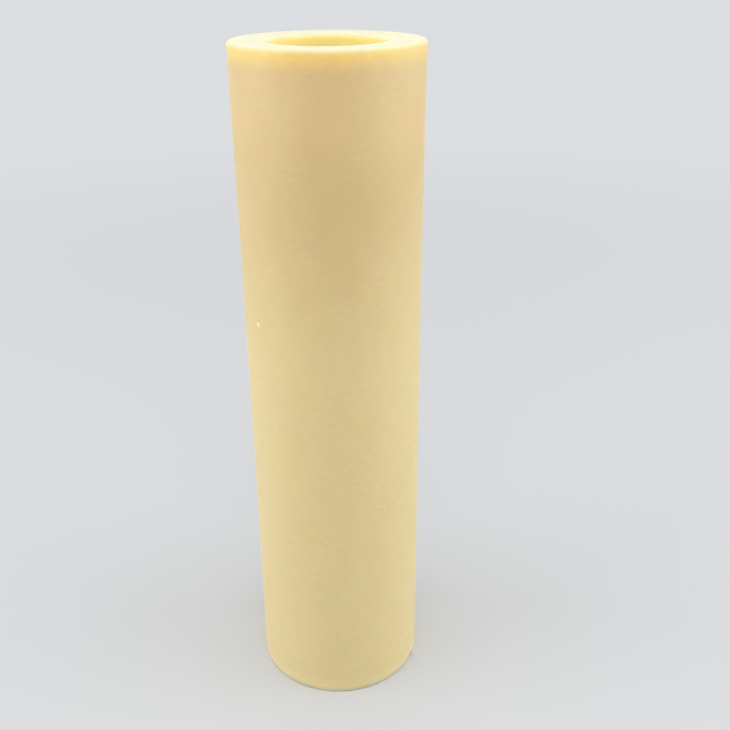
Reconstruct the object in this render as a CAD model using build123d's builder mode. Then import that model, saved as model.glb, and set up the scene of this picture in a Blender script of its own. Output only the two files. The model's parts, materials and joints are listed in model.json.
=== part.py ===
from build123d import *

import os
from dataclasses import dataclass
from math import sqrt

# Alumina tube: a thick-walled tube of fired ceramic, all in one piece.
# Millimetres, +Z up along the tube's axis, origin at the centre of the lower end face.
# The tube stands upright on that face, and the side seen in front looks along -Y.

# Driving dimensions of the tube
outer_diameter = 50.0
bore_diameter = 30.0
length = 192.0

# Driving dimensions of the broken edges, roundest where the bore opens at the upper end
upper_rim_radius = 0.6
upper_bore_edge_radius = 1.2
lower_rim_radius = 0.3
lower_bore_edge_radius = 0.3


@dataclass(frozen=True)
class Chip:
    """A flake knocked out of the sharp lower rim, hollow like the inside of a ball.

    angle is its place round the tube in degrees, from +X towards +Y, width is how far it runs
    along the rim, and depth is how far it bites in from the corner, at 45 degrees to both faces.
    """

    angle: float
    width: float
    depth: float

    @property
    def hollow_radius(self):
        """Radius of the ball whose surface the flake leaves behind."""
        return (self.width**2 / 4 + self.depth**2) / (2 * self.depth)

    @property
    def hollow_centre(self):
        """Centre of that ball, outside the tube and below its lower end."""
        offset = (self.hollow_radius - self.depth) / sqrt(2)
        return Vector(outer_diameter / 2 + offset, 0, -offset).rotate(Axis.Z, self.angle)


# The chips, from the large one at the right of the view round to the small nicks in front
side_notch = Chip(angle=-24.9, width=4.2, depth=1.05)
long_flake = Chip(angle=-39.5, width=7.4, depth=0.44)
middle_nick = Chip(angle=-52.6, width=1.6, depth=0.42)
front_nick = Chip(angle=-64.4, width=1.7, depth=0.42)
small_nick = Chip(angle=-69.8, width=1.0, depth=0.33)

outer_radius = outer_diameter / 2
bore_radius = bore_diameter / 2

with BuildPart() as alumina_tube:
    # The wall's section, turned round the axis, from the bore's lower edge and back up to its top
    with BuildSketch(Plane.XZ):
        with BuildLine():
            FilletPolyline(
                (bore_radius, 0),
                (outer_radius, 0),
                (outer_radius, length),
                (bore_radius, length),
                radius=[
                    lower_bore_edge_radius,
                    lower_rim_radius,
                    upper_rim_radius,
                    upper_bore_edge_radius,
                ],
                close=True,
            )
        make_face()
    revolve(axis=Axis.Z)

    # The chips in the lower rim
    for chip in (side_notch, long_flake, middle_nick, front_nick, small_nick):
        with Locations(chip.hollow_centre):
            Sphere(chip.hollow_radius, mode=Mode.SUBTRACT)

alumina_tube.part.label = "alumina_tube"

os.makedirs("parts", exist_ok=True)
export_step(alumina_tube.part, "parts/alumina_tube.step")
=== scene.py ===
"""The alumina tube, dressed: a thick-walled tube of fired ceramic in a soft, pale studio.

Lengths are written in millimetres and angles in degrees, and are turned into metres and radians
where Blender needs them. The tube stands on its lower end at the origin, and the side seen in
front looks along -Y.
"""

import json
import logging
import math
from collections.abc import Mapping
from dataclasses import dataclass
from enum import Enum
from functools import cached_property
from typing import Any

import bmesh
import bpy
from mathutils import Euler, Matrix, Vector, noise


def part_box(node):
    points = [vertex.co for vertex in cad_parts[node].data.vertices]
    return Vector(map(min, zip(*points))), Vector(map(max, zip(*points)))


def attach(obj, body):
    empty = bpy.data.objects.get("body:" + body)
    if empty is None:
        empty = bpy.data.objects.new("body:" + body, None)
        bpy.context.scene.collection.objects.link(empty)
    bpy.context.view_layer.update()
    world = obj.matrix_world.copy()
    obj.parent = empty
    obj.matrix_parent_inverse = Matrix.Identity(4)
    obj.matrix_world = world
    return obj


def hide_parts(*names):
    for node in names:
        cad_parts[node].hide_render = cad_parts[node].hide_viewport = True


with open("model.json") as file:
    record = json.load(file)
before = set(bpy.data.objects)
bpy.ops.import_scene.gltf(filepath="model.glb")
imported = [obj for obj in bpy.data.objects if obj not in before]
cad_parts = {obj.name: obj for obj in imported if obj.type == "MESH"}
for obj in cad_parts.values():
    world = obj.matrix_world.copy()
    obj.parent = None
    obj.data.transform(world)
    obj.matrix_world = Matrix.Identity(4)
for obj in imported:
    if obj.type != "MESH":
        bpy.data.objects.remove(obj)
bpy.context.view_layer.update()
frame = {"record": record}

MM = 0.001
BODY = "root"
NODE = "alumina_tube"

# Points closer together than this count as one, in metres: in a cut or a face without area, and
# along the seam where the full turn of the section closes
TOUCHING = 1e-7
SEAM = 1e-6

# What a noise node gives on average
NOISE_MIDDLE = 0.5

Colour = tuple[float, float, float, float]

log = logging.getLogger("tube")


def paint(red: int, green: int, blue: int) -> Colour:
    """Turns a colour as a screen shows it into the linear light that a shader works in.

    Args:
        red: The screen's red, from 0 to 255.
        green: The screen's green, from 0 to 255.
        blue: The screen's blue, from 0 to 255.

    Returns:
        The linear red, green and blue, and an alpha of 1.
    """

    def linear(level: int) -> float:
        """One channel's screen level as linear light, by the sRGB curve."""
        share = level / 255
        return share / 12.92 if share <= 0.04045 else ((share + 0.055) / 1.055) ** 2.4

    return linear(red), linear(green), linear(blue), 1.0


def polar(radius: float, angle: float, height: float) -> Vector:
    """Finds a point from its place round the tube.

    Args:
        radius: Distance from the tube's axis, in millimetres.
        angle: Degrees from +X towards +Y.
        height: Height above the floor, in millimetres.

    Returns:
        The point in metres.
    """
    turn = math.radians(angle)
    return Vector((radius * math.cos(turn), radius * math.sin(turn), height)) * MM


def put_in_scene(name: str, data: bpy.types.ID) -> bpy.types.Object:
    """Makes an object of a mesh, a lamp or a lens, and puts it into the scene.

    Args:
        name: The object's name.
        data: The mesh, lamp or lens.

    Returns:
        The object, at the origin.
    """
    made = bpy.data.objects.new(name, data)
    bpy.context.scene.collection.objects.link(made)
    return made


def finish_mesh(name: str, mesh: bmesh.types.BMesh) -> bpy.types.Object:
    """Turns a modelled bmesh into an object, and frees the bmesh.

    Args:
        name: The object's name.
        mesh: The bmesh, with its shape in place.

    Returns:
        The object, at the origin.
    """
    data = bpy.data.meshes.new(name)
    mesh.to_mesh(data)
    mesh.free()
    return put_in_scene(name, data)


@dataclass(frozen=True)
class Ball:
    """A round piece of space, in metres."""

    centre: Vector
    radius: float

    def holds(self, point: Vector) -> bool:
        """Whether a point lies inside the ball."""
        return (point - self.centre).length < self.radius

    def grown(self, margin: float) -> "Ball":
        """The ball made larger all round by a margin in millimetres."""
        return Ball(self.centre, self.radius + margin * MM)


@dataclass(frozen=True)
class Chip:
    """A flake knocked out of the sharp lower rim, hollow like the inside of a ball.

    angle is its place round the tube, width is how far it runs along the rim, and depth is how
    far it bites in from the corner, at 45 degrees to both faces.
    """

    angle: float
    width: float
    depth: float

    def hollow(self, rim_radius: float) -> Ball:
        """Finds the ball whose surface the flake leaves behind.

        Args:
            rim_radius: Radius of the rim that the flake is missing from, in millimetres.

        Returns:
            The ball, whose centre is outside the tube and below its lower end.
        """
        radius = (self.width**2 / 4 + self.depth**2) / (2 * self.depth)
        offset = (radius - self.depth) / math.sqrt(2)
        return Ball(polar(rim_radius + offset, self.angle, -offset), radius * MM)


@dataclass(frozen=True)
class Ripple:
    """The unevenness of a fresh break.

    height and width are those of its largest ripples. layers counts them and the finer ones that
    lie over them, each finer than the last by fineness, and weaker the larger fading is. Right
    at the border of the break there are none, and onset is how far inside it they have their
    full height.
    """

    height: float
    width: float
    onset: float
    layers: int
    fineness: float
    fading: float

    def lift(self, point: Vector, inside: float) -> float:
        """Works out how far the ripples lift or sink a point of the break.

        Args:
            point: The point, in metres.
            inside: How far the point is inside the border of the break, in metres.

        Returns:
            The distance in metres, which is negative where the point sinks.
        """
        growth = min(1.0, inside / (self.onset * MM))
        rough = noise.fractal(point / (self.width * MM), self.fading, self.fineness, self.layers)
        return self.height * MM * growth * rough


@dataclass(frozen=True)
class Scar:
    """A shallow scar in the outer wall, steep at its upper end and drawn out downwards.

    slant is how far its upper end leans towards smaller angles round the tube, in degrees, and
    bend is how far both ends swing back towards larger ones, in half widths.
    """

    angle: float
    height: float
    slant: float
    bend: float
    length: float
    width: float
    depth: float

    def turn(self) -> Euler:
        """The scar's own axes: X out of the wall, Y across the scar and Z along it, upwards."""
        return Euler((math.radians(self.slant), 0, math.radians(self.angle)))

    def half_sizes(self) -> Vector:
        """Half the scar's reach along its own three axes, in metres."""
        return Vector((self.width, self.width, self.length)) * (MM / 2)

    def spread(self, out: "Number", across: "Number", along: "Number") -> "Number":
        """Works out how far out a place is in the scar, with numbers or in a shader.

        Args:
            out: How far the place is out of the wall, in half sizes, as the other two are.
            across: How far it is across the scar.
            along: How far it is up the scar.

        Returns:
            The square of the distance: 0 in the scar's middle and 1 at its border.
        """
        swung = across - along * along * self.bend
        return out * out + swung * swung + along * along

    def hollow_depth(self, own: Vector) -> float:
        """Works out how deep the scar is at a place.

        Args:
            own: The place in half sizes along the scar's own axes.

        Returns:
            The depth below the wall, in metres.
        """
        inside = max(0.0, 1 - self.spread(own.x, own.y, own.z))
        return self.depth * MM * inside * (1 + own.z)


@dataclass(frozen=True)
class Speck:
    """A small spot in the outer wall, whose colour shows by its strength, from 0 to 1."""

    angle: float
    height: float
    size: float
    strength: float


@dataclass
class AluminaTube:
    """The whole tube: its section turned round the axis, then the chips and the scar.

    The kiln leaves the wall a little slimmer at mid height than at its ends, by waist on the
    radius.

    edge_steps are the steps of a broken edge, and turn_steps those of the full turn. The walls
    are cut into rows and the ends into rings, and a cut beside each broken edge, edge_margin
    from it, keeps its shading. In the chips and the scar, and round them by their margins, the
    skin's edges are halved until none is longer than fine_edge. A corner wider than
    straight_corner is taken as straight, and the skin is shaded smooth where it folds by less
    than sharp_fold.
    """

    outer_diameter: float
    bore_diameter: float
    length: float
    upper_rim_radius: float = 0.6
    upper_bore_edge_radius: float = 1.2
    lower_rim_radius: float = 0.3
    lower_bore_edge_radius: float = 0.3
    waist: float = 0.2
    edge_steps: int = 8
    turn_steps: int = 360
    row_height: float = 4.0
    end_rings: int = 5
    edge_margin: float = 0.2
    fine_edge: float = 0.09
    chip_margin: float = 0.15
    scar_margin: float = 0.2
    straight_corner: float = 179
    sharp_fold: float = 28
    chips: tuple[Chip, ...] = (
        Chip(angle=-24.9, width=4.2, depth=1.05),
        Chip(angle=-39.5, width=7.4, depth=0.44),
        Chip(angle=-52.6, width=1.6, depth=0.42),
        Chip(angle=-64.4, width=1.7, depth=0.42),
        Chip(angle=-69.8, width=1.0, depth=0.33),
    )
    ripple: Ripple = Ripple(
        height=0.03, width=0.55, onset=0.1, layers=3, fineness=2.0, fading=0.6
    )
    scar: Scar = Scar(
        angle=-144.6, height=121.4, slant=15, bend=1.3, length=2.9, width=1.3, depth=0.14
    )
    # The first grain stands proud, and its paler colour is a painted highlight on its top
    grains: tuple[Speck, ...] = (
        Speck(angle=-59.2, height=66.6, size=0.5, strength=0.5),
        Speck(angle=-30.4, height=82.7, size=0.7, strength=0.7),
        Speck(angle=-34.8, height=82.2, size=0.8, strength=0.3),
        Speck(angle=-22.2, height=74.5, size=0.7, strength=0.6),
        Speck(angle=-153.2, height=122.3, size=0.7, strength=0.4),
    )
    # Painted shade under the first grain, which stands proud
    painted_shade_spots: tuple[Speck, ...] = (Speck(angle=-58.6, height=65.9, size=0.5, strength=0.9),)

    @classmethod
    def from_frame(cls) -> "AluminaTube":
        """Takes the tube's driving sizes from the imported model.

        Returns:
            The tube with the model's length and bore, and the largest diameter that its box holds.
        """
        low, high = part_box(NODE)
        bore = next(mount for mount in frame["record"]["mounts"] if mount["name"] == "bore")
        return cls(
            outer_diameter=2 * min(-low.x, high.x, -low.y, high.y) / MM,
            bore_diameter=2 * bore["dims"]["r_mm"],
            length=(high.z - low.z) / MM,
        )

    @property
    def outer_radius(self) -> float:
        """Radius of the outer wall at its ends."""
        return self.outer_diameter / 2

    @property
    def bore_radius(self) -> float:
        """Radius of the bore."""
        return self.bore_diameter / 2

    def waist_at(self, height: float) -> float:
        """How much slimmer the outer wall is at a height, on the radius."""
        return self.waist * (1 - (2 * height / self.length - 1) ** 2)

    def on_wall(self, angle: float, height: float) -> Vector:
        """A point of the outer wall, in metres."""
        return polar(self.outer_radius - self.waist_at(height), angle, height)

    def row_heights(self) -> list[float]:
        """Lists the heights that cut the walls into rows.

        Returns:
            Heights evenly up the wall, with one more beside each broken edge.
        """
        rows = round(self.length / self.row_height)
        even = [self.length * row / rows for row in range(1, rows)]
        lower = {self.lower_rim_radius, self.lower_bore_edge_radius}
        upper = {self.upper_rim_radius, self.upper_bore_edge_radius}
        near_ends = [radius + self.edge_margin for radius in lower]
        near_ends += [self.length - radius - self.edge_margin for radius in upper]
        return sorted(even + near_ends)

    def ring_radii(self) -> list[float]:
        """Lists the radii that cut the end faces into rings.

        Returns:
            Radii evenly across the wall, of which the first and the last are beside broken edges.
        """
        inner = self.bore_radius + self.upper_bore_edge_radius + self.edge_margin
        outer = self.outer_radius - self.upper_rim_radius - self.edge_margin
        rings = self.end_rings
        return [inner + (outer - inner) * ring / rings for ring in range(rings + 1)]

    def draw_section(self) -> bmesh.types.BMesh:
        """Draws the outline of the wall's section, on the +X side of the axis.

        Returns:
            A bmesh that holds the closed outline with its broken edges and its rows, and no face.
        """
        mesh = bmesh.new()
        corners = (
            (self.bore_radius, 0, self.lower_bore_edge_radius),
            (self.outer_radius, 0, self.lower_rim_radius),
            (self.outer_radius, self.length, self.upper_rim_radius),
            (self.bore_radius, self.length, self.upper_bore_edge_radius),
        )
        points = [mesh.verts.new((out * MM, 0, height * MM)) for out, height, _ in corners]
        mesh.faces.new(points)
        for point, (_, _, radius) in zip(points, corners):
            bmesh.ops.bevel(
                mesh,
                geom=[point],
                affect="VERTICES",
                offset_type="OFFSET",
                offset=radius * MM,
                segments=self.edge_steps,
                profile=0.5,
                material=-1,
            )
        bmesh.ops.delete(mesh, geom=mesh.faces[:], context="FACES_ONLY")
        for height in self.row_heights():
            self.cut(mesh, Vector((0, 0, height * MM)), Vector((0, 0, 1)))
        for radius in self.ring_radii():
            self.cut(mesh, Vector((radius * MM, 0, 0)), Vector((1, 0, 0)))
        mid_wall = (self.bore_radius + self.outer_radius) / 2 * MM
        for point in mesh.verts:
            if point.co.x > mid_wall:
                point.co.x -= self.waist_at(point.co.z / MM) * MM
        return mesh

    @staticmethod
    def cut(mesh: bmesh.types.BMesh, point: Vector, normal: Vector) -> None:
        """Cuts every edge that crosses a plane, and keeps both sides."""
        whole = mesh.verts[:] + mesh.edges[:]
        bmesh.ops.bisect_plane(mesh, geom=whole, dist=TOUCHING, plane_co=point, plane_no=normal)

    def turn_section(self, mesh: bmesh.types.BMesh) -> None:
        """Turns the section once round the axis and closes it into one skin.

        Args:
            mesh: The bmesh that holds the section.
        """
        bmesh.ops.spin(
            mesh,
            geom=mesh.verts[:] + mesh.edges[:],
            cent=(0, 0, 0),
            axis=(0, 0, 1),
            angle=math.tau,
            steps=self.turn_steps,
            use_merge=True,
        )
        bmesh.ops.remove_doubles(mesh, verts=mesh.verts[:], dist=SEAM)
        bmesh.ops.recalc_face_normals(mesh, faces=mesh.faces[:])

    def long_edges(self, mesh: bmesh.types.BMesh, region: Ball) -> list[bmesh.types.BMEdge]:
        """Finds the edges in a region that are longer than fine_edge.

        Args:
            mesh: The tube's skin.
            region: The piece of space. An edge counts as in it if the edge's middle is in it, or
                is closer to it than half the edge's length.

        Returns:
            The edges, each once, in the order of the skin's points.
        """
        around = region.grown(self.row_height)
        near = [vertex for vertex in mesh.verts if around.holds(vertex.co)]
        found = []
        for edge in dict.fromkeys(edge for vertex in near for edge in vertex.link_edges):
            length = edge.calc_length()
            middle = (edge.verts[0].co + edge.verts[1].co) / 2
            if length > self.fine_edge * MM and region.grown(length / MM / 2).holds(middle):
                found.append(edge)
        return found

    def refine(self, mesh: bmesh.types.BMesh, region: Ball) -> None:
        """Splits the edges in a region until none is long, and the faces left odd into triangles.

        An odd face has more than four corners, or one that lies in a straight side, and could be
        exported with a triangle that has no area.

        Args:
            mesh: The tube's skin.
            region: The piece of space whose edges are split.
        """
        while edges := self.long_edges(mesh, region):
            bmesh.ops.subdivide_edges(mesh, edges=edges, cuts=1, use_grid_fill=True)
        straight = math.radians(self.straight_corner)
        odd = [
            face
            for face in mesh.faces
            if len(face.verts) > 4 or any(loop.calc_angle() > straight for loop in face.loops)
        ]
        bmesh.ops.triangulate(mesh, faces=odd, quad_method="BEAUTY", ngon_method="BEAUTY")
        bmesh.ops.dissolve_degenerate(mesh, dist=TOUCHING, edges=mesh.edges[:])

    def knock_chip(self, mesh: bmesh.types.BMesh, chip: Chip) -> None:
        """Pushes the skin inside a chip's ball back onto the ball, with a rippled break.

        Args:
            mesh: The tube's skin.
            chip: The chip to leave in its lower rim.
        """
        hollow = chip.hollow(self.outer_radius)
        self.refine(mesh, hollow.grown(self.chip_margin))
        for vertex in mesh.verts:
            if hollow.holds(vertex.co):
                away = vertex.co - hollow.centre
                lift = self.ripple.lift(vertex.co, hollow.radius - away.length)
                vertex.co = hollow.centre + away.normalized() * (hollow.radius + lift)

    def press_scar(self, mesh: bmesh.types.BMesh) -> None:
        """Presses the scar into the outer wall.

        Args:
            mesh: The tube's skin.
        """
        place = self.on_wall(self.scar.angle, self.scar.height)
        self.refine(mesh, Ball(place, self.scar.length / 2 * MM).grown(self.scar_margin))
        to_scar = Matrix.LocRotScale(place, self.scar.turn(), self.scar.half_sizes()).inverted()
        for vertex in mesh.verts:
            outward = Vector((vertex.co.x, vertex.co.y, 0)).normalized()
            vertex.co -= outward * self.scar.hollow_depth(to_scar @ vertex.co)

    def shade(self, mesh: bmesh.types.BMesh) -> None:
        """Shades the skin smooth, but for the sharp borders of the chips.

        Args:
            mesh: The tube's skin.
        """
        for face in mesh.faces:
            face.smooth = True
        for edge in mesh.edges:
            edge.smooth = edge.calc_face_angle(0.0) < math.radians(self.sharp_fold)

    def build(self) -> bpy.types.Object:
        """Models the tube as one closed skin.

        Returns:
            The finished object, standing at the origin.
        """
        mesh = self.draw_section()
        self.turn_section(mesh)
        for chip in self.chips:
            self.knock_chip(mesh, chip)
        self.press_scar(mesh)
        self.shade(mesh)
        return finish_mesh("fired_tube", mesh)

    def dress(self, piece: bpy.types.Object, finish: "FiredAlumina") -> None:
        """Gives the tube its finish."""
        piece.data.materials.append(finish.material(self))

    @staticmethod
    def join_frame(piece: bpy.types.Object) -> None:
        """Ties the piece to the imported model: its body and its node.

        Args:
            piece: The finished tube.
        """
        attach(piece, BODY)
        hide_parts(NODE)


class Maths(Enum):
    """The sums that a shader's Math node is asked for."""

    ADD = "ADD"
    SUBTRACT = "SUBTRACT"
    MULTIPLY = "MULTIPLY"
    MAXIMUM = "MAXIMUM"


class Flow:
    """A number that passes from node to node, which Python's own operators work on."""

    def __init__(self, sheet: "NodeSheet", socket: bpy.types.NodeSocket) -> None:
        """Keeps the socket that gives the number, and the sheet that it is on."""
        self.sheet = sheet
        self.socket = socket

    def __add__(self, other: "Number") -> "Flow":
        """self + other."""
        return self.sheet.maths(Maths.ADD, self, other)

    def __radd__(self, other: "Number") -> "Flow":
        """other + self."""
        return self.sheet.maths(Maths.ADD, other, self)

    def __sub__(self, other: "Number") -> "Flow":
        """self - other."""
        return self.sheet.maths(Maths.SUBTRACT, self, other)

    def __rsub__(self, other: "Number") -> "Flow":
        """other - self."""
        return self.sheet.maths(Maths.SUBTRACT, other, self)

    def __mul__(self, other: "Number") -> "Flow":
        """self * other."""
        return self.sheet.maths(Maths.MULTIPLY, self, other)

    def __rmul__(self, other: "Number") -> "Flow":
        """other * self."""
        return self.sheet.maths(Maths.MULTIPLY, other, self)

    def __or__(self, other: "Number") -> "Flow":
        """self | other: the larger of the two, which joins two masks into one."""
        return self.sheet.maths(Maths.MAXIMUM, self, other)

    def __ror__(self, other: "Number") -> "Flow":
        """other | self."""
        return self.sheet.maths(Maths.MAXIMUM, other, self)


# A number and a colour, as they are or as a shader gives them
Number = Flow | float
Tint = Colour | bpy.types.NodeSocket


@dataclass(frozen=True)
class Mottle:
    """Soft noise all through the tube, for whatever varies over its surface.

    lumps are how many lumps go into a metre along X, Y and Z, and detail is how many finer
    layers lie over them. Read as a mask, the noise rises from 0 at low to 1 at high.
    """

    lumps: tuple[float, float, float]
    detail: float
    low: float = 0.0
    high: float = 1.0


class NodeSheet:
    """The node tree of a material or of the world, written as expressions."""

    def __init__(self, owner: bpy.types.Material | bpy.types.World) -> None:
        """Clears the owner's node tree, ready to be written.

        Args:
            owner: The material or world.
        """
        owner.use_nodes = True
        self.tree = owner.node_tree
        self.tree.nodes.clear()

    def node(
        self,
        kind: str,
        settings: Mapping[str, Any] | None = None,
        sockets: Mapping[str | int, Any] | None = None,
    ) -> bpy.types.Node:
        """Adds a node.

        Args:
            kind: The node's Blender type.
            settings: The node's own properties, set before its sockets, and a ramp's stops.
            sockets: Values or links of its inputs, by name or by number.

        Returns:
            The node.
        """
        made = self.tree.nodes.new(kind)
        for name, value in (settings or {}).items():
            if name == "stops":
                self.set_stops(made.color_ramp, value)
            else:
                setattr(made, name, value)
        for key, value in (sockets or {}).items():
            target = self.find_socket(made, key)
            source = value.socket if isinstance(value, Flow) else value
            if isinstance(source, bpy.types.NodeSocket):
                self.tree.links.new(source, target)
            else:
                target.default_value = source
        return made

    @staticmethod
    def find_socket(node: bpy.types.Node, key: str | int) -> bpy.types.NodeSocket:
        """Finds an input of a node.

        Args:
            node: The node.
            key: The input's number, or its name, which it may share with inputs not in use.

        Returns:
            The input.
        """
        if isinstance(key, int):
            return node.inputs[key]
        return next(socket for socket in node.inputs if socket.enabled and socket.name == key)

    @staticmethod
    def set_stops(ramp: bpy.types.ColorRamp, stops: Mapping[float, Colour]) -> None:
        """Gives a ramp its stops, with smooth passages between them.

        Args:
            ramp: The ramp.
            stops: The colour at each place from 0 to 1.
        """
        ramp.interpolation = "EASE"
        # It doesn't matter where a stop is added, because each gets its own place below
        while len(ramp.elements) < len(stops):
            ramp.elements.new(0.5)
        for element, (spot, colour) in zip(ramp.elements, sorted(stops.items())):
            element.position = spot
            element.color = colour

    def maths(self, operation: Maths, first: Number, second: Number) -> Flow:
        """One Math node on two numbers, of which at least one is a Flow."""
        made = self.node("ShaderNodeMath", {"operation": operation.value}, {0: first, 1: second})
        return Flow(self, made.outputs[0])

    def mix(self, share: Number, first: Tint, second: Tint) -> bpy.types.NodeSocket:
        """Mixes two colours.

        Args:
            share: How much of the second colour is taken, from 0 to 1.
            first: The first colour.
            second: The second colour.

        Returns:
            The socket of the mixed colour.
        """
        made = self.node(
            "ShaderNodeMix", {"data_type": "RGBA"}, {"Factor": share, "A": first, "B": second}
        )
        return next(socket for socket in made.outputs if socket.enabled)

    def blend(
        self, share: Flow, first: bpy.types.Node, second: bpy.types.Node
    ) -> bpy.types.NodeSocket:
        """Mixes two shaders.

        Args:
            share: How much of the second shader is taken, from 0 to 1.
            first: The first shader.
            second: The second shader.

        Returns:
            The socket of the mixed shader.
        """
        sockets = {0: share, 1: first.outputs[0], 2: second.outputs[0]}
        return self.node("ShaderNodeMixShader", sockets=sockets).outputs[0]

    def ramp(self, value: Flow, stops: Mapping[float, Colour]) -> bpy.types.NodeSocket:
        """A colour that changes with a value, through the colours at its stops."""
        made = self.node("ShaderNodeValToRGB", {"stops": stops}, {0: value})
        return made.outputs["Color"]

    def rise(self, value: Flow, start: float, end: float) -> Flow:
        """Makes a mask of a value.

        Args:
            value: The value.
            start: Where the mask is still 0.
            end: Where it has risen smoothly to 1.

        Returns:
            The mask.
        """
        made = self.node(
            "ShaderNodeMapRange",
            {"interpolation_type": "SMOOTHSTEP"},
            {"Value": value, "From Min": start, "From Max": end},
        )
        return Flow(self, made.outputs[0])

    @cached_property
    def place(self) -> bpy.types.NodeSocket:
        """The place of the point being shaded, in its object's own frame, in metres."""
        return self.node("ShaderNodeTexCoord").outputs["Object"]

    @cached_property
    def height(self) -> Flow:
        """The height of the point being shaded, in metres."""
        parts = self.node("ShaderNodeSeparateXYZ", sockets={0: self.place}).outputs
        return Flow(self, parts["Z"])

    def stretched(self, scale: tuple[float, float, float]) -> bpy.types.NodeSocket:
        """The place of the point being shaded, with each of its axes scaled."""
        made = self.node(
            "ShaderNodeVectorMath", {"operation": "MULTIPLY"}, {0: self.place, 1: scale}
        )
        return made.outputs["Vector"]

    def length(self, vector: bpy.types.NodeSocket) -> Flow:
        """A vector's length."""
        made = self.node("ShaderNodeVectorMath", {"operation": "LENGTH"}, {0: vector})
        return Flow(self, made.outputs["Value"])

    def distance(self, point: Vector) -> Flow:
        """How far the point being shaded is from a fixed one, in metres."""
        made = self.node(
            "ShaderNodeVectorMath", {"operation": "DISTANCE"}, {0: self.place, 1: point}
        )
        return Flow(self, made.outputs["Value"])

    def noise(self, mottle: Mottle) -> Flow:
        """A mottle's soft noise, as it is.

        Args:
            mottle: The mottle.

        Returns:
            The noise, from 0 to 1.
        """
        made = self.node(
            "ShaderNodeTexNoise",
            {"noise_dimensions": "3D"},
            {"Vector": self.stretched(mottle.lumps), "Scale": 1.0, "Detail": mottle.detail},
        )
        return Flow(self, made.outputs[0])

    def patches(self, mottle: Mottle) -> Flow:
        """A mottle read as a mask."""
        return self.rise(self.noise(mottle), mottle.low, mottle.high)


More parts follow.
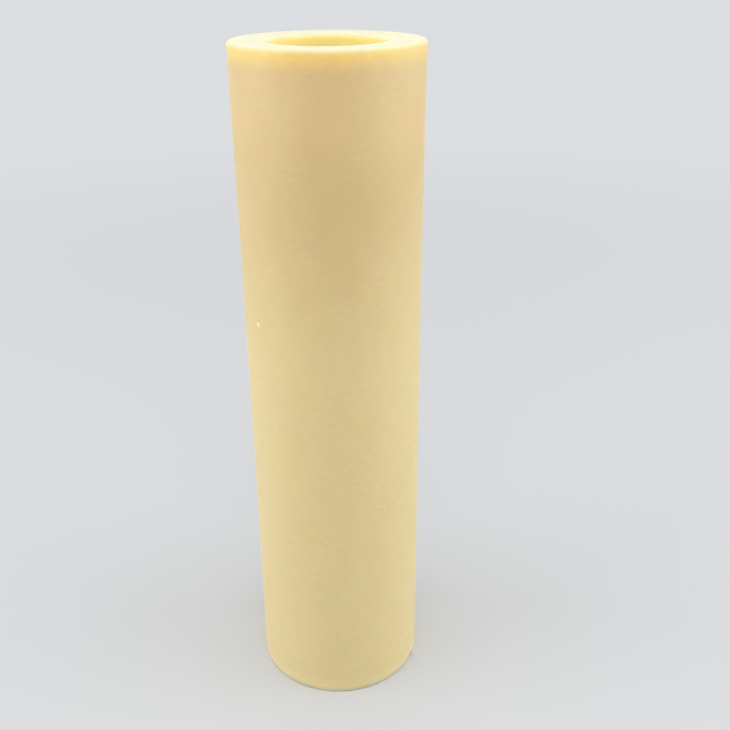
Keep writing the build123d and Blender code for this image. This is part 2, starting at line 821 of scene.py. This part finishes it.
@dataclass(frozen=True)
class FiredAlumina:
    """Sintered alumina, as fired on its walls and ground on its two ends.

    The walls are a warm ivory with soft clouds, faint turning lines and a few pale grains. The
    ends are paler, where the wheel took the fired skin off, and on the lit upper end their paler,
    whiter tone also stands in for strong light. Light soaks into the wall for a few millimetres
    and comes out warmer, which gives part of the glow below the lit rim. The rest of that glow
    and a glow in the bore are painted into the colour, and so are a lighter foot, painted shade
    in the turning lines and on the rounded edges, and a painted highlight and painted shade on
    the scar and on a grain that stands proud.

    soak_depth is how far red light goes into the ceramic, and soak_share the share of that depth
    which each of red, green and blue reaches.
    """

    # The outer wall's colours from the foot up, and what lies over them: a foot painted lighter,
    # darker and browner from mid height, a painted glow from the shoulder up, and painted shade on
    # the rim's rounded edge
    # Painted light: a lighter, redder foot, against the shade where the wall meets the floor
    foot_painted_light: Colour = paint(246, 216, 162)
    wall_low: Colour = paint(225, 206, 149)
    wall_high: Colour = paint(216, 190, 131)
    # Painted glow: lighter and warmer from the shoulder up to the rim
    shoulder_painted_glow: Colour = paint(222, 195, 137)
    rim_painted_glow: Colour = paint(236, 211, 123)
    wall_glow: Colour = paint(235, 213, 139)
    # Painted shade: the rounded edge of the rim, darker to hold down the lamps' light on it
    rim_edge_painted_shade: Colour = paint(218, 198, 153)
    rim_lip_painted_shade: Colour = paint(220, 210, 172)
    cloud: Colour = paint(242, 226, 180)
    # Painted shade in the grooves of the turning lines
    groove_painted_shade: Colour = paint(196, 176, 124)

    # The bore's colours from below its mouth up: a painted glow, lighter and warmer than the walls
    bore: Colour = paint(255, 237, 161)
    bore_mouth_painted_glow: Colour = paint(255, 231, 155)
    # Painted shade: the rounded edge of the bore, darker to hold down the lamps' light on it
    bore_lip_painted_shade: Colour = paint(234, 228, 165)
    bore_edge_painted_shade: Colour = paint(228, 228, 201)

    # The colours of the ground ends, the chips, and the marks in the wall, with a painted
    # highlight and painted shade on the scar and on a grain that stands proud
    # Partly painted light: paler, whiter ground ends, standing in for strong light on the top end
    ground: Colour = paint(231, 229, 193)
    broken: Colour = paint(236, 220, 178)
    # Pale grains, also a painted highlight on the scar's hollow and on a proud grain's top
    grain: Colour = paint(250, 236, 184)
    # Painted shade: under the scar's steep upper end and under a grain that stands proud
    painted_shade: Colour = paint(211, 192, 138)

    # How light goes into the ceramic and comes back
    soak_depth: float = 5.5
    soak_share: tuple[float, float, float] = (1.0, 0.6, 0.25)
    refraction: float = 1.7
    roughness: float = 0.6
    rougher_ends: float = 0.25
    uneven_roughness: float = 0.1
    unevenness: Mottle = Mottle(lumps=(400, 400, 400), detail=2)

    # The clouds and the turning lines, and how much of their colours shows. The lines' colour is
    # painted shade in their grooves
    clouds: Mottle = Mottle(lumps=(60, 60, 40), detail=3, low=0.3, high=0.7)
    cloud_share: float = 0.15
    lines: Mottle = Mottle(lumps=(400, 400, 1300), detail=1, low=0.35, high=0.6)
    line_patches: Mottle = Mottle(lumps=(50, 50, 40), detail=2, low=0.3, high=0.6)
    groove_shade_share: float = 0.12

    # The fine relief
    line_depth: float = 0.003
    fired_grain: Mottle = Mottle(lumps=(2500, 2500, 2500), detail=2)
    fired_grain_height: float = 0.003
    wheel_marks: Mottle = Mottle(lumps=(200, 5000, 0), detail=2)
    wheel_mark_height: float = 0.002

    # The distances from an end between which its ground face passes into the walls
    end_fade: tuple[float, float] = (0.01, 0.05)

    # The widths over which the bore and the chips pass into what lies round them
    bore_fade: float = 0.4
    chip_fade: float = 0.06

    # The distances from a speck's middle between which it fades, as shares of its size
    speck_fade: tuple[float, float] = (0.3, 0.7)

    # The scar: its border by its spread, then, in half lengths up from its middle, where the
    # painted shade of its steep upper end begins and where the painted highlight of its hollow
    # grows to its full strength from its tail's share
    scar_border: tuple[float, float] = (0.5, 1.0)
    scar_shade_rise: tuple[float, float] = (0.36, 0.5)
    scar_highlight_rise: tuple[float, float] = (-1.0, 0.5)
    scar_tail_share: float = 0.3

    def material(self, tube: AluminaTube) -> bpy.types.Material:
        """Writes the finish for a tube.

        Args:
            tube: The tube, whose sizes say where its walls, ends, chips and grains are.

        Returns:
            The material.
        """
        made = bpy.data.materials.new("fired_alumina")
        sheet = NodeSheet(made)
        surface = sheet.node(
            "ShaderNodeBsdfPrincipled",
            {"subsurface_method": "RANDOM_WALK"},
            {
                "Base Color": self.colour(sheet, tube),
                "Roughness": self.worn_roughness(sheet, tube),
                "IOR": self.refraction,
                "Subsurface Weight": 1.0,
                "Subsurface Radius": self.soak_share,
                "Subsurface Scale": self.soak_depth * MM,
                "Normal": self.relief(sheet, tube),
            },
        )
        sheet.node("ShaderNodeOutputMaterial", sockets={"Surface": surface.outputs[0]})
        return made

    def ends(self, sheet: NodeSheet, tube: AluminaTube) -> Flow:
        """Marks the two ground end faces.

        Args:
            sheet: The material's nodes.
            tube: The tube.

        Returns:
            The mask.
        """
        near, far = self.end_fade
        upper = sheet.rise(sheet.height, (tube.length - far) * MM, (tube.length - near) * MM)
        lower = 1 - sheet.rise(sheet.height, near * MM, far * MM)
        return upper | lower

    def bore_wall(self, sheet: NodeSheet, tube: AluminaTube) -> Flow:
        """Marks the bore's wall.

        Args:
            sheet: The material's nodes.
            tube: The tube.

        Returns:
            The mask.
        """
        radius = sheet.length(sheet.stretched((1, 1, 0)))
        edge = (tube.bore_radius + tube.upper_bore_edge_radius) * MM
        return 1 - sheet.rise(radius, edge - self.bore_fade * MM, edge)

    def breaks(self, sheet: NodeSheet, tube: AluminaTube) -> Flow:
        """Marks the fresh surfaces inside the chips.

        Args:
            sheet: The material's nodes.
            tube: The tube.

        Returns:
            The mask.
        """
        mask: Number = 0.0
        for chip in tube.chips:
            hollow = chip.hollow(tube.outer_radius)
            away = sheet.distance(hollow.centre)
            mask |= 1 - sheet.rise(away, hollow.radius, hollow.radius + self.chip_fade * MM)
        return mask

    def scar(self, sheet: NodeSheet, tube: AluminaTube) -> tuple[Flow, Flow]:
        """Marks the two parts of the scar.

        Args:
            sheet: The material's nodes.
            tube: The tube.

        Returns:
            A mask of the hollow's painted highlight, which fades downwards, and one of the
            painted shade at its steep upper end.
        """
        own = sheet.node(
            "ShaderNodeMapping",
            {"vector_type": "TEXTURE"},
            {
                "Vector": sheet.place,
                "Location": tube.on_wall(tube.scar.angle, tube.scar.height),
                "Rotation": tube.scar.turn(),
                "Scale": tube.scar.half_sizes(),
            },
        )
        parts = sheet.node("ShaderNodeSeparateXYZ", sockets={0: own.outputs[0]}).outputs
        out, across, along = (Flow(sheet, part) for part in parts)
        inside = 1 - sheet.rise(tube.scar.spread(out, across, along), *self.scar_border)
        top = sheet.rise(along, *self.scar_shade_rise)
        upwards = sheet.rise(along, *self.scar_highlight_rise)
        pale = self.scar_tail_share + upwards * (1 - self.scar_tail_share)
        return inside * (1 - top) * pale, inside * top

    def spots(self, sheet: NodeSheet, tube: AluminaTube, specks: tuple[Speck, ...]) -> Flow:
        """Marks some of the small spots in the outer wall.

        Args:
            sheet: The material's nodes.
            tube: The tube.
            specks: The spots.

        Returns:
            The mask, as strong as each spot is.
        """
        mask: Number = 0.0
        for speck in specks:
            start, end = (share * speck.size * MM for share in self.speck_fade)
            away = sheet.distance(tube.on_wall(speck.angle, speck.height))
            mask |= (1 - sheet.rise(away, start, end)) * speck.strength
        return mask

    def turning_lines(self, sheet: NodeSheet) -> Flow:
        """A mask of the faint lines left by turning before the firing, short and broken."""
        return sheet.patches(self.lines) * sheet.patches(self.line_patches)

    def colour(self, sheet: NodeSheet, tube: AluminaTube) -> bpy.types.NodeSocket:
        """Works out the base colour all over the tube.

        Args:
            sheet: The material's nodes.
            tube: The tube.

        Returns:
            The socket of the colour.
        """
        # Both ramps run up the tube, from 0 at its foot to 1 at its upper end
        level = sheet.height * (1 / (tube.length * MM))
        # Painted light and shade: a lighter foot, a glow below the rim, shade on the rounded rim
        outside = {
            0.0: self.foot_painted_light,
            0.03: self.wall_low,
            0.55: self.wall_low,
            0.83: self.wall_high,
            0.925: self.shoulder_painted_glow,
            0.97: self.shoulder_painted_glow,
            0.992: self.rim_painted_glow,
            0.9955: self.wall_glow,
            0.9985: self.rim_edge_painted_shade,
            0.9997: self.rim_lip_painted_shade,
        }
        # The bore's ramp: a painted glow, with painted shade on its rounded edge
        inside = {
            0.983: self.bore,
            0.992: self.bore_mouth_painted_glow,
            0.9956: self.bore_lip_painted_shade,
            0.9985: self.bore_edge_painted_shade,
        }
        walls = sheet.ramp(level, outside)
        walls = sheet.mix(sheet.patches(self.clouds) * self.cloud_share, walls, self.cloud)
        # Painted shade in the grooves of the turning lines
        walls = sheet.mix(self.turning_lines(sheet) * self.groove_shade_share, walls, self.groove_painted_shade)
        walls = sheet.mix(self.bore_wall(sheet, tube), walls, sheet.ramp(level, inside))
        # Painted highlight in the scar's hollow, painted shade at its steep upper end
        hollow, scar_shade = self.scar(sheet, tube)
        # Pale grains, and a painted highlight on the scar's hollow and on a proud grain's top
        walls = sheet.mix(hollow | self.spots(sheet, tube, tube.grains), walls, self.grain)
        walls = sheet.mix(scar_shade | self.spots(sheet, tube, tube.painted_shade_spots), walls, self.painted_shade)
        # Ground ends, whose paler tone also stands in for strong light on the top end
        walls = sheet.mix(self.ends(sheet, tube), walls, self.ground)
        return sheet.mix(self.breaks(sheet, tube), walls, self.broken)

    def worn_roughness(self, sheet: NodeSheet, tube: AluminaTube) -> Flow:
        """The roughness, higher on the ground ends and uneven all over."""
        uneven = (sheet.noise(self.unevenness) - NOISE_MIDDLE) * self.uneven_roughness
        return self.roughness + uneven + self.ends(sheet, tube) * self.rougher_ends

    def relief(self, sheet: NodeSheet, tube: AluminaTube) -> bpy.types.NodeSocket:
        """Works out the fine relief: turning lines, the fired grain and the wheel's marks.

        Args:
            sheet: The material's nodes.
            tube: The tube.

        Returns:
            The socket of the normal.
        """
        ends = self.ends(sheet, tube)
        lines = self.turning_lines(sheet) * (1 - ends) * (-self.line_depth * MM)
        grain = sheet.noise(self.fired_grain) * (self.fired_grain_height * MM)
        wheel = sheet.noise(self.wheel_marks) * ends * (self.wheel_mark_height * MM)
        bump = sheet.node(
            "ShaderNodeBump",
            sockets={"Strength": 1.0, "Distance": 1.0, "Height": lines + grain + wheel},
        )
        return bump.outputs["Normal"]


@dataclass(frozen=True)
class Softbox:
    """A square lamp behind a diffuser, aimed at the tube.

    azimuth is in degrees from +X towards +Y, elevation is above the floor, and both are seen
    from the point that the lamp is aimed at. side is the length of its sides, and power is in
    watts.
    """

    name: str
    azimuth: float
    elevation: float
    distance: float
    side: float
    power: float

    def hang(self, aim: Vector) -> None:
        """Hangs the lamp.

        Args:
            aim: The point that it lights, in metres.
        """
        lamp = bpy.data.lights.new(self.name, "AREA")
        lamp.shape = "SQUARE"
        lamp.size = self.side * MM
        lamp.energy = self.power
        lift = math.radians(self.elevation)
        out = polar(self.distance * math.cos(lift), self.azimuth, self.distance * math.sin(lift))
        turned = (-out).to_track_quat("-Z", "Y").to_matrix().to_4x4()
        hung = put_in_scene(self.name, lamp)
        hung.matrix_world = Matrix.Translation(aim + out) @ turned
        hung.visible_camera = False


@dataclass(frozen=True)
class Studio:
    """A pale floor that fades into a pale surround, with softboxes above and at both sides.

    The floor is seen in floor_colour, but throws bounce_colour back onto the tube. It lies
    floor_gap below the tube, and fades out between fade_from and fade_to from the tube's foot.
    fill is the strength of the surround's own light.
    """

    floor_colour: Colour = paint(203, 205, 208)
    bounce_colour: Colour = paint(150, 151, 152)
    backdrop_colour: Colour = paint(220, 222, 225)
    fill_colour: Colour = (1.0, 1.0, 1.0, 1.0)
    fill: float = 0.9
    floor_radius: float = 3000.0
    floor_sides: int = 128
    floor_gap: float = 0.02
    fade_from: float = 120.0
    fade_to: float = 900.0
    aim_height: float = 96.0
    softboxes: tuple[Softbox, ...] = (
        Softbox("high_softbox", azimuth=-90, elevation=60, distance=900, side=700, power=1.3),
        Softbox("left_softbox", azimuth=-168, elevation=7, distance=900, side=800, power=4.9),
        Softbox("right_softbox", azimuth=-12, elevation=7, distance=900, side=800, power=4.6),
    )

    def lay_floor(self) -> None:
        """Lays the floor, a hair below the tube."""
        mesh = bmesh.new()
        radius = self.floor_radius * MM
        bmesh.ops.create_circle(mesh, cap_ends=True, segments=self.floor_sides, radius=radius)
        bmesh.ops.translate(mesh, verts=mesh.verts[:], vec=(0, 0, -self.floor_gap * MM))
        floor = finish_mesh("floor", mesh)
        floor.data.materials.append(self.floor_material())

    def floor_material(self) -> bpy.types.Material:
        """Writes a plain matt floor, which is seen to fade into the backdrop.

        Returns:
            The material.
        """
        made = bpy.data.materials.new("pale_floor")
        sheet = NodeSheet(made)
        seen = self.seen(sheet)
        shown = sheet.mix(seen, self.bounce_colour, self.floor_colour)
        matt = sheet.node("ShaderNodeBsdfDiffuse", sockets={"Color": shown})
        beyond = sheet.node("ShaderNodeBsdfTransparent")
        away = sheet.length(sheet.place)
        fade = sheet.rise(away, self.fade_from * MM, self.fade_to * MM) * seen
        surface = sheet.blend(fade, matt, beyond)
        sheet.node("ShaderNodeOutputMaterial", sockets={"Surface": surface})
        return made

    @staticmethod
    def seen(sheet: NodeSheet) -> Flow:
        """Tells the rays by which something is seen from those that light it.

        Args:
            sheet: The nodes of the floor or of the surround.

        Returns:
            A mask of the rays from the camera, also those mirrored or let through on their way.
        """
        rays = sheet.node("ShaderNodeLightPath").outputs
        names = ("Is Camera Ray", "Is Glossy Ray", "Is Transmission Ray")
        straight, mirrored, through = (Flow(sheet, rays[name]) for name in names)
        return straight | mirrored | through

    def light_surround(self) -> None:
        """Lights the world: a plain fill for the tube, and a pale backdrop where it is seen."""
        world = bpy.data.worlds.new("surround")
        bpy.context.scene.world = world
        sheet = NodeSheet(world)
        fill = sheet.node(
            "ShaderNodeBackground", sockets={"Color": self.fill_colour, "Strength": self.fill}
        )
        backdrop = sheet.node(
            "ShaderNodeBackground", sockets={"Color": self.backdrop_colour, "Strength": 1.0}
        )
        surface = sheet.blend(self.seen(sheet), fill, backdrop)
        sheet.node("ShaderNodeOutputWorld", sockets={"Surface": surface})

    def set_up(self) -> None:
        """Lays the floor, lights the surround and hangs the softboxes."""
        self.lay_floor()
        self.light_surround()
        for softbox in self.softboxes:
            softbox.hang(Vector((0, 0, self.aim_height * MM)))


@dataclass(frozen=True)
class Viewpoint:
    """The camera, close in front of the tube and looking down along it.

    pitch is how far it looks down, yaw how far it is turned towards +X, and roll how far it
    leans, in degrees. It sees what is between nearest and farthest.
    """

    distance: float = 238.30
    height: float = 215.21
    pitch: float = 25.42
    yaw: float = 2.14
    roll: float = -0.41
    focal_length: float = 44.565
    sensor_width: float = 36.0
    nearest: float = 10.0
    farthest: float = 20000.0

    def set_up(self) -> None:
        """Stands the camera and makes it the scene's own."""
        lens = bpy.data.cameras.new("camera")
        lens.sensor_fit = "HORIZONTAL"
        lens.sensor_width = self.sensor_width
        lens.lens = self.focal_length
        lens.clip_start = self.nearest * MM
        lens.clip_end = self.farthest * MM
        turn = (
            Matrix.Rotation(math.radians(-self.yaw), 4, "Z")
            @ Matrix.Rotation(math.radians(90 - self.pitch), 4, "X")
            @ Matrix.Rotation(math.radians(self.roll), 4, "Z")
        )
        camera = put_in_scene("camera", lens)
        stand = Vector((0, -self.distance, self.height)) * MM
        camera.matrix_world = Matrix.Translation(stand) @ turn
        bpy.context.scene.camera = camera


def report(piece: bpy.types.Object) -> None:
    """Logs a piece's name, its triangles and its size in millimetres.

    Args:
        piece: The finished piece.
    """
    triangles = sum(len(face.vertices) - 2 for face in piece.data.polygons)
    size = " x ".join(f"{side / MM:.3f}" for side in piece.dimensions)
    log.info("%s: %d triangles, %s mm", piece.name, triangles, size)


def main() -> None:
    """Builds and dresses the tube, then sets up the studio and the camera."""
    logging.basicConfig(level=logging.INFO, format="%(name)s: %(message)s")
    bpy.context.scene.view_settings.view_transform = "Standard"
    tube = AluminaTube.from_frame()
    piece = tube.build()
    tube.dress(piece, FiredAlumina())
    tube.join_frame(piece)
    report(piece)
    Studio().set_up()
    Viewpoint().set_up()


if __name__ == "__main__":
    main()
